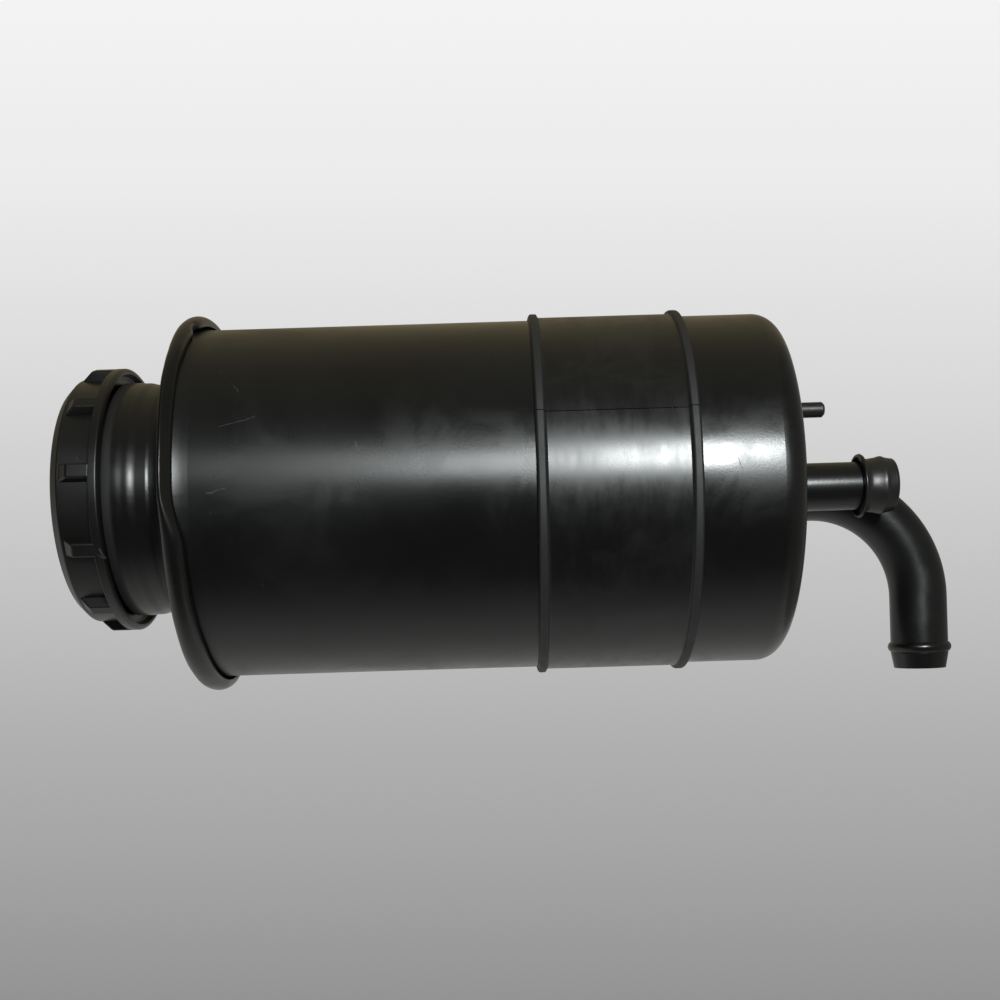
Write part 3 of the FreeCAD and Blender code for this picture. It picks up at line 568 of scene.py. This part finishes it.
def step_up(low, high, start, length, parts=8):
    """A smooth change of radius over a length of the neck."""
    points = []
    for i in range(parts + 1):
        share = i / parts
        points.append((low + (high - low) * (1 - math.cos(math.pi * share)) / 2, start + length * share))
    return points


def hump(angle, middle, reach):
    """A soft hump over a direction, in degrees."""
    return math.exp(-((angle - middle) / reach) ** 2)


def ease(value, start, end):
    """A smooth change from 0 to 1 between two values."""
    share = min(max((value - start) / (end - start), 0.0), 1.0)
    return share * share * (3 - 2 * share)


def seam_length(angle):
    """How far the rolled edge reaches down the can: short near the front, long below it."""
    above = 4.6 + 1.6 * ease(angle, 25, 90)
    below = 7.1 + 0.6 * ease(-angle, 30, 60) - 1.5 * ease(-angle, 80, 140)
    return above + (below - above) * ease(-angle, -5, 17)


def seam_section(angle, hem, lid):
    """The rolled edge in one direction: a round bead, or a crest and a flank where the roller slipped."""
    length = seam_length(angle)
    roll = 3.1
    crest = 1.4
    bead = arc((hem - roll, 0.0), roll, 90, -90, 16)
    bead = [(radius, lid + length * (height / roll - 1) / 2) for radius, height in bead]
    flank = arc((hem - crest, lid - crest), crest, 90, 0, 8)
    flank += [(hem - 0.4 * i, lid - crest - 0.5 * i) for i in range(1, 6)]
    flank += [(hem - 2.3, lid - 4.12), (hem - 2.7, lid - 4.25), (61.6, lid - 4.3)]
    share = ease(angle, -15, 1) * (1 - ease(angle, 28, 48))
    outer = [Vector(round_one).lerp(Vector(slipped), share) for round_one, slipped in zip(bead, flank)]
    notch = 1.5 * hump(angle, 65, 3)
    outer = [(radius, height + notch * ease(i, 10, 16)) for i, (radius, height) in enumerate(outer)]
    foot = outer[-1][1]
    lip = [(61.35, foot + 0.05), (61.2, foot + 0.3), (61.2, foot + 1.0)]
    inner = arc((hem - roll, lid - 2.1), 1.1, -90, 90, 8)
    return outer + lip + inner + [(47.5, lid - 1.0), (47.5, lid)]


def facing(point):
    """The direction of a point about the can's axis, in degrees from the photograph's front."""
    return math.degrees(math.atan2(point.x, -point.y))


def roll_seam(bm, hem, lid):
    """Spins one section of the rolled edge round the can, then gives each direction its own section."""
    order = bm.verts.layers.int.new("order in section")
    shape = section(bm, seam_section(90, hem, lid), ORIGIN)
    for index, vert in enumerate(bm.verts):
        vert[order] = index
    bmesh.ops.spin(bm, geom=shape, cent=ORIGIN, axis=(0, 0, 1), angle=FULL_TURN, steps=360, use_merge=True)
    sections = {degree: seam_section(degree, hem, lid) for degree in range(-180, 181)}
    for vert in bm.verts:
        radius, height = sections[round(facing(vert.co))][vert[order]]
        out = Vector((vert.co.x, vert.co.y, 0)).normalized()
        vert.co = out * radius * MM + Vector((0, 0, height * MM))
    bm.verts.layers.int.remove(order)
    bmesh.ops.recalc_face_normals(bm, faces=bm.faces)


def make_cover():
    """The drawn cover: rolled seam, pinched where it was closed, and the threaded filler neck."""
    low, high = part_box("top_cover")
    hem = (high.x - low.x) / 2 / MM
    rim = high.z / MM
    lid = rim - 36.8
    bm = bmesh.new()
    roll_seam(bm, hem, lid)
    for vert in bm.verts:
        radius = Vector((vert.co.x, vert.co.y)).length / MM
        angle = facing(vert.co)
        edge = min(max((radius - 58.0) / 3.0, 0.0), 1.0)
        wave = 0.8 * hump(angle, 58.0, 28.0) + 0.4 * hump(angle, -55.0, 26.0)
        wave += noise.noise(vert.co * 75.0) * 0.16 + noise.noise(vert.co * 200.0) * 0.06
        vert.co.z += wave * edge * MM
    join_in(bm, make_neck(middle_of("screw_cap"), lid, rim))
    cover = new_piece("cover_and_neck", bm, "tank", cover_black)
    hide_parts("top_cover")
    return cover


def make_neck(centre, lid, rim):
    """The filler neck, from its bend out of the cover up to its rim, with its outer thread."""
    lower = 39.4
    waist = 39.7
    shoulder = 40.3
    stop = 40.5
    threaded = 38.9
    bend = 8.0
    foot = lower + bend
    band = rim - 17.0
    neck = [(foot + 4.0, lid - 1.0), (foot + 4.0, lid - 0.03)]
    neck += arc((foot, lid + bend), bend, 270, 180, 14)
    neck += step_up(lower, waist, lid + 8.9, 1.4)
    neck += step_up(waist, shoulder, band - 6.6, 3.2)
    neck += step_up(shoulder, stop, band - 2.6, 2.6, 6)
    neck += [(stop, band + 4.2), (stop - 0.3, band + 4.5), (threaded, band + 4.5), (threaded, rim - 0.5)]
    neck += arc((threaded - 0.5, rim - 0.5), 0.5, 30, 90, 3)
    neck += [(36.7, rim), (36.7, rim - 1.0), (threaded - 1.0, rim - 1.0), (threaded - 1.0, band + 3.5)]
    neck += [(lower - 1.0, band + 3.5), (lower - 1.0, lid + bend)]
    neck += arc((foot, lid + bend), bend + 1.0, 190, 270, 8)
    bm = bmesh.new()
    spin_full(bm, neck, centre, 220)
    crest = threaded + 0.42
    thread = [(threaded - 0.1, -1.1), (crest, -0.35), (crest, 0.35), (threaded - 0.1, 1.1)]
    add_thread(bm, centre, thread, rim - 10.2, 1.4)
    return bm


def make_clamp_band():
    """The rubber sleeve with rounded ribs and its butt joint."""
    low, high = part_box("clamp_sleeve")
    half = high.z / MM
    crest = high.x / MM
    wall = 60.85
    bore = 60.05
    slope = 0.6
    rib = [(wall, half - SLEEVE_RIB), (crest, half - SLEEVE_RIB + slope), (crest, half - slope), (wall, half)]
    lower_rib = [(radius, -height) for radius, height in reversed(rib)]
    bm = bmesh.new()
    shape = section(bm, [(bore, -half)] + lower_rib + rib + [(bore, half)], ORIGIN)
    bmesh.ops.spin(bm, geom=shape, cent=ORIGIN, axis=(0, 0, 1), steps=240,
                   angle=math.radians(360 - JOINT_GAP))
    bmesh.ops.recalc_face_normals(bm, faces=bm.faces)
    round_edges(bm, 0.4, 3, 20)
    ends = [edge for edge in bm.edges if edge.is_boundary]
    bmesh.ops.holes_fill(bm, edges=ends, sides=60)
    for edge in ends:
        edge.smooth = False
    bmesh.ops.recalc_face_normals(bm, faces=bm.faces)
    joint = Matrix.Rotation(math.radians(JOINT_TURN), 3, "Z")
    bmesh.ops.rotate(bm, cent=ORIGIN, matrix=joint, verts=bm.verts)
    band = new_piece("clamp_band", bm, "tank", sleeve_rubber)
    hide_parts("clamp_sleeve")
    return band


def make_transit_cap():
    """The soft cap on the return pipe, pushed on a little unevenly."""
    low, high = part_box("return_dust_cap")
    face = low.z / MM
    mouth = high.z / MM
    lip = high.x / MM
    side = lip - 1.5
    bm = bmesh.new()
    bore = side - 0.6
    floor = face + 1.25
    spin_full(bm, [
        (0.0, face), (side - 1.9, face), (side - 0.75, face + 0.55), (side - 0.35, face + 1.8),
        (side, face + 3.6), (side + 0.45, face + 4.8), (side + 0.1, face + 6.4), (side - 0.2, face + 8.2),
        (side, mouth - 1.6), (lip - 0.3, mouth - 1.2), (lip, mouth - 0.6), (lip - 0.2, mouth),
        (bore, mouth), (bore, floor), (0.0, floor),
    ], ORIGIN, 96)
    upright = []
    for edge in bm.edges:
        rise = abs(edge.verts[0].co.z - edge.verts[1].co.z)
        if edge.calc_length() > 0.9 * MM and rise > 0.3 * MM:
            upright.append(edge)
    bmesh.ops.subdivide_edges(bm, edges=upright, cuts=2, use_grid_fill=True, smooth=0.6)
    for vert in bm.verts:
        radius = Vector((vert.co.x, vert.co.y)).length / MM
        if radius > side - 0.5:
            swell = noise.noise(vert.co * 160.0) * 0.16 + noise.noise(vert.co * 420.0) * 0.05
            out = Vector((vert.co.x, vert.co.y, 0)).normalized()
            vert.co += out * (swell - 0.1) * MM
    cap = new_piece("transit_cap_soft", bm, "transit_cap", transit_vinyl)
    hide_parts("return_dust_cap")
    return cap


def wind_spring(name, node, turns, wire):
    """A coil spring wound to fill the box of its CAD node, on no body."""
    low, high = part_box(node)
    centre = middle_of(node)
    coil = (high.x - low.x) / 2 - wire
    steps = 48 * turns
    rise = (high.z - low.z - 2 * wire) / steps
    bm = bmesh.new()
    bmesh.ops.create_circle(bm, segments=14, radius=wire)
    bmesh.ops.rotate(bm, cent=ORIGIN, matrix=Matrix.Rotation(math.pi / 2, 3, "X"), verts=bm.verts)
    bmesh.ops.translate(bm, vec=(centre.x + coil, centre.y, low.z + wire), verts=bm.verts)
    bmesh.ops.spin(bm, geom=bm.verts[:] + bm.edges[:], cent=centre, axis=(0, 0, 1), dvec=(0, 0, rise),
                   angle=FULL_TURN * turns, steps=steps)
    bmesh.ops.holes_fill(bm, edges=[edge for edge in bm.edges if edge.is_boundary], sides=14)
    bmesh.ops.recalc_face_normals(bm, faces=bm.faces)
    spring = new_piece(name, bm, None, spring_steel)
    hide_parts(node)
    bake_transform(spring)
    return spring


make_filler_cap()
make_cover()
make_clamp_band()
make_transit_cap()
wind_spring("hold_down_coil", "hold_down_spring", 5, 1.5 * MM)
wind_spring("relief_coil", "bypass_spring", 3, 0.7 * MM)


# Floor, light and camera

FLOOR_RADIUS = 0.52
FLOOR_HEIGHT = -0.4
WINDOW_LIGHT = (0.95, 1.0, 1.0)
WINDOW_SPREAD = math.radians(60)

# What the camera sees behind the part: a grey for each step up the picture
BACKDROP = (
    (0.000, 0.250), (0.240, 0.255), (0.300, 0.268), (0.339, 0.292), (0.448, 0.440), (0.520, 0.571),
    (0.593, 0.708), (0.665, 0.831), (0.741, 0.896), (0.800, 0.915), (1.000, 0.925),
)
# What the surfaces reflect, round the can's axis from behind: across the can and off its ends
ROOM_ACROSS = (
    (0.00, 0.40, 0.40, 0.39), (0.16, 0.52, 0.53, 0.51), (0.24, 0.48, 0.49, 0.47), (0.29, 0.27, 0.28, 0.27),
    (0.34, 0.07, 0.07, 0.07), (0.46, 0.05, 0.05, 0.05), (0.60, 0.10, 0.10, 0.10), (0.70, 0.21, 0.20, 0.165),
    (0.82, 0.31, 0.27, 0.17), (0.92, 0.30, 0.25, 0.15), (1.00, 0.40, 0.40, 0.39),
)
ROOM_ENDS = (
    (0.00, 0.40, 0.40, 0.39), (0.16, 0.60, 0.60, 0.58), (0.27, 0.60, 0.60, 0.58), (0.36, 0.24, 0.24, 0.24),
    (0.46, 0.06, 0.06, 0.06), (0.62, 0.025, 0.025, 0.025), (0.76, 0.06, 0.06, 0.05), (0.90, 0.24, 0.21, 0.13),
    (1.00, 0.40, 0.40, 0.39),
)


def make_floor():
    """A pale round floor, well below the pipes."""
    bm = bmesh.new()
    bmesh.ops.create_circle(bm, cap_ends=True, segments=96, radius=FLOOR_RADIUS)
    bmesh.ops.translate(bm, vec=(0, 0, FLOOR_HEIGHT), verts=bm.verts)
    mesh = bpy.data.meshes.new("floor")
    bm.to_mesh(mesh)
    bm.free()
    floor = bpy.data.objects.new("floor", mesh)
    scene.collection.objects.link(floor)
    material, tree, shader, vector = new_material("pale floor")
    grain = noise_node(tree, vector, 40.0, 2.0)
    pale = mix_colour(tree, grain, (0.60, 0.60, 0.60, 1.0), (0.64, 0.64, 0.64, 1.0))
    link(tree, pale, shader.inputs["Base Color"])
    shader.inputs["Roughness"].default_value = 0.7
    mesh.materials.append(material)


def make_lamp(name, place_at, aim, width, height, power):
    """A soft window in front of the part."""
    lamp = bpy.data.lights.new(name, "AREA")
    lamp.shape = "RECTANGLE"
    lamp.size = width
    lamp.size_y = height
    lamp.energy = power
    lamp.color = WINDOW_LIGHT
    lamp.spread = WINDOW_SPREAD
    thing = bpy.data.objects.new(name, lamp)
    thing.location = place_at
    thing.rotation_euler = (Vector(aim) - Vector(place_at)).to_track_quat("-Z", "Y").to_euler()
    scene.collection.objects.link(thing)


def colour_band(tree, value, stops):
    """A colour ramp through (place, red, green, blue)."""
    node = tree.nodes.new("ShaderNodeValToRGB")
    band = node.color_ramp
    while len(band.elements) < len(stops):
        band.elements.new(0.5)
    for element, stop in zip(band.elements, stops):
        element.position = stop[0]
        element.color = stop[1:] + (1.0,)
    link(tree, value, node.inputs["Fac"])
    return node.outputs["Color"]


def make_world():
    """A grey backdrop that the camera sees, and a soft room that the surfaces reflect."""
    world = bpy.data.worlds.new("studio")
    scene.world = world
    world.use_nodes = True
    tree = world.node_tree
    tree.nodes.clear()
    coords = tree.nodes.new("ShaderNodeTexCoord")
    split = tree.nodes.new("ShaderNodeSeparateXYZ")
    link(tree, coords.outputs["Generated"], split.inputs["Vector"])
    across = math_node(tree, "MULTIPLY", split.outputs["Z"], math.tan(ROLL))
    upward = math_node(tree, "SUBTRACT", split.outputs["X"], across)
    slope = math_node(tree, "DIVIDE", upward, math_node(tree, "ABSOLUTE", split.outputs["Y"]))
    rise = math_node(tree, "ADD", math_node(tree, "MULTIPLY", slope, 0.5), 0.5)
    backdrop = colour_band(tree, rise, [(step, grey, grey, grey) for step, grey in BACKDROP])
    backward = math_node(tree, "MULTIPLY", split.outputs["Y"], -1.0)
    angle = math_node(tree, "ARCTAN2", split.outputs["X"], backward)
    around = math_node(tree, "ADD", math_node(tree, "DIVIDE", angle, FULL_TURN), 0.5)
    over = colour_band(tree, around, ROOM_ACROSS)
    ends = colour_band(tree, around, ROOM_ENDS)
    lean = math_node(tree, "ABSOLUTE", split.outputs["Z"])
    room = mix_colour(tree, ramp(tree, lean, (0.3, 0.8, 0.0, 1.0)), over, ends)
    path = tree.nodes.new("ShaderNodeLightPath")
    mixed = mix_colour(tree, path.outputs["Is Camera Ray"], room, backdrop)
    light = tree.nodes.new("ShaderNodeBackground")
    link(tree, mixed, light.inputs["Color"])
    end = tree.nodes.new("ShaderNodeOutputWorld")
    link(tree, light.outputs["Background"], end.inputs["Surface"])


def make_camera():
    """The photograph's view: across the lying tank, filler cap left, a little rolled."""
    right = Vector((-math.sin(ROLL), 0, -math.cos(ROLL)))
    up = Vector((math.cos(ROLL), 0, -math.sin(ROLL)))
    back = right.cross(up)
    lens = bpy.data.cameras.new("camera")
    lens.sensor_width = 36.0
    lens.lens = LENS
    lens.shift_y = LENS_SHIFT
    camera = bpy.data.objects.new("camera", lens)
    turn = Matrix((right, up, back)).transposed().to_4x4()
    camera.matrix_world = Matrix.Translation(CAMERA_AT) @ turn
    scene.collection.objects.link(camera)
    scene.camera = camera


make_floor()
make_lamp("window right", (0.285, -0.92, -0.188), (0.0, 0.0, -0.02), 0.18, 0.11, 0.84)
make_lamp("window middle", (0.268, -0.92, 0.0), (0.0, 0.0, 0.0), 0.235, 0.25, 0.245)
make_lamp("window left", (0.31, -0.92, 0.25), (0.0, 0.0, 0.04), 0.26, 0.24, 0.058)
make_world()
make_camera()
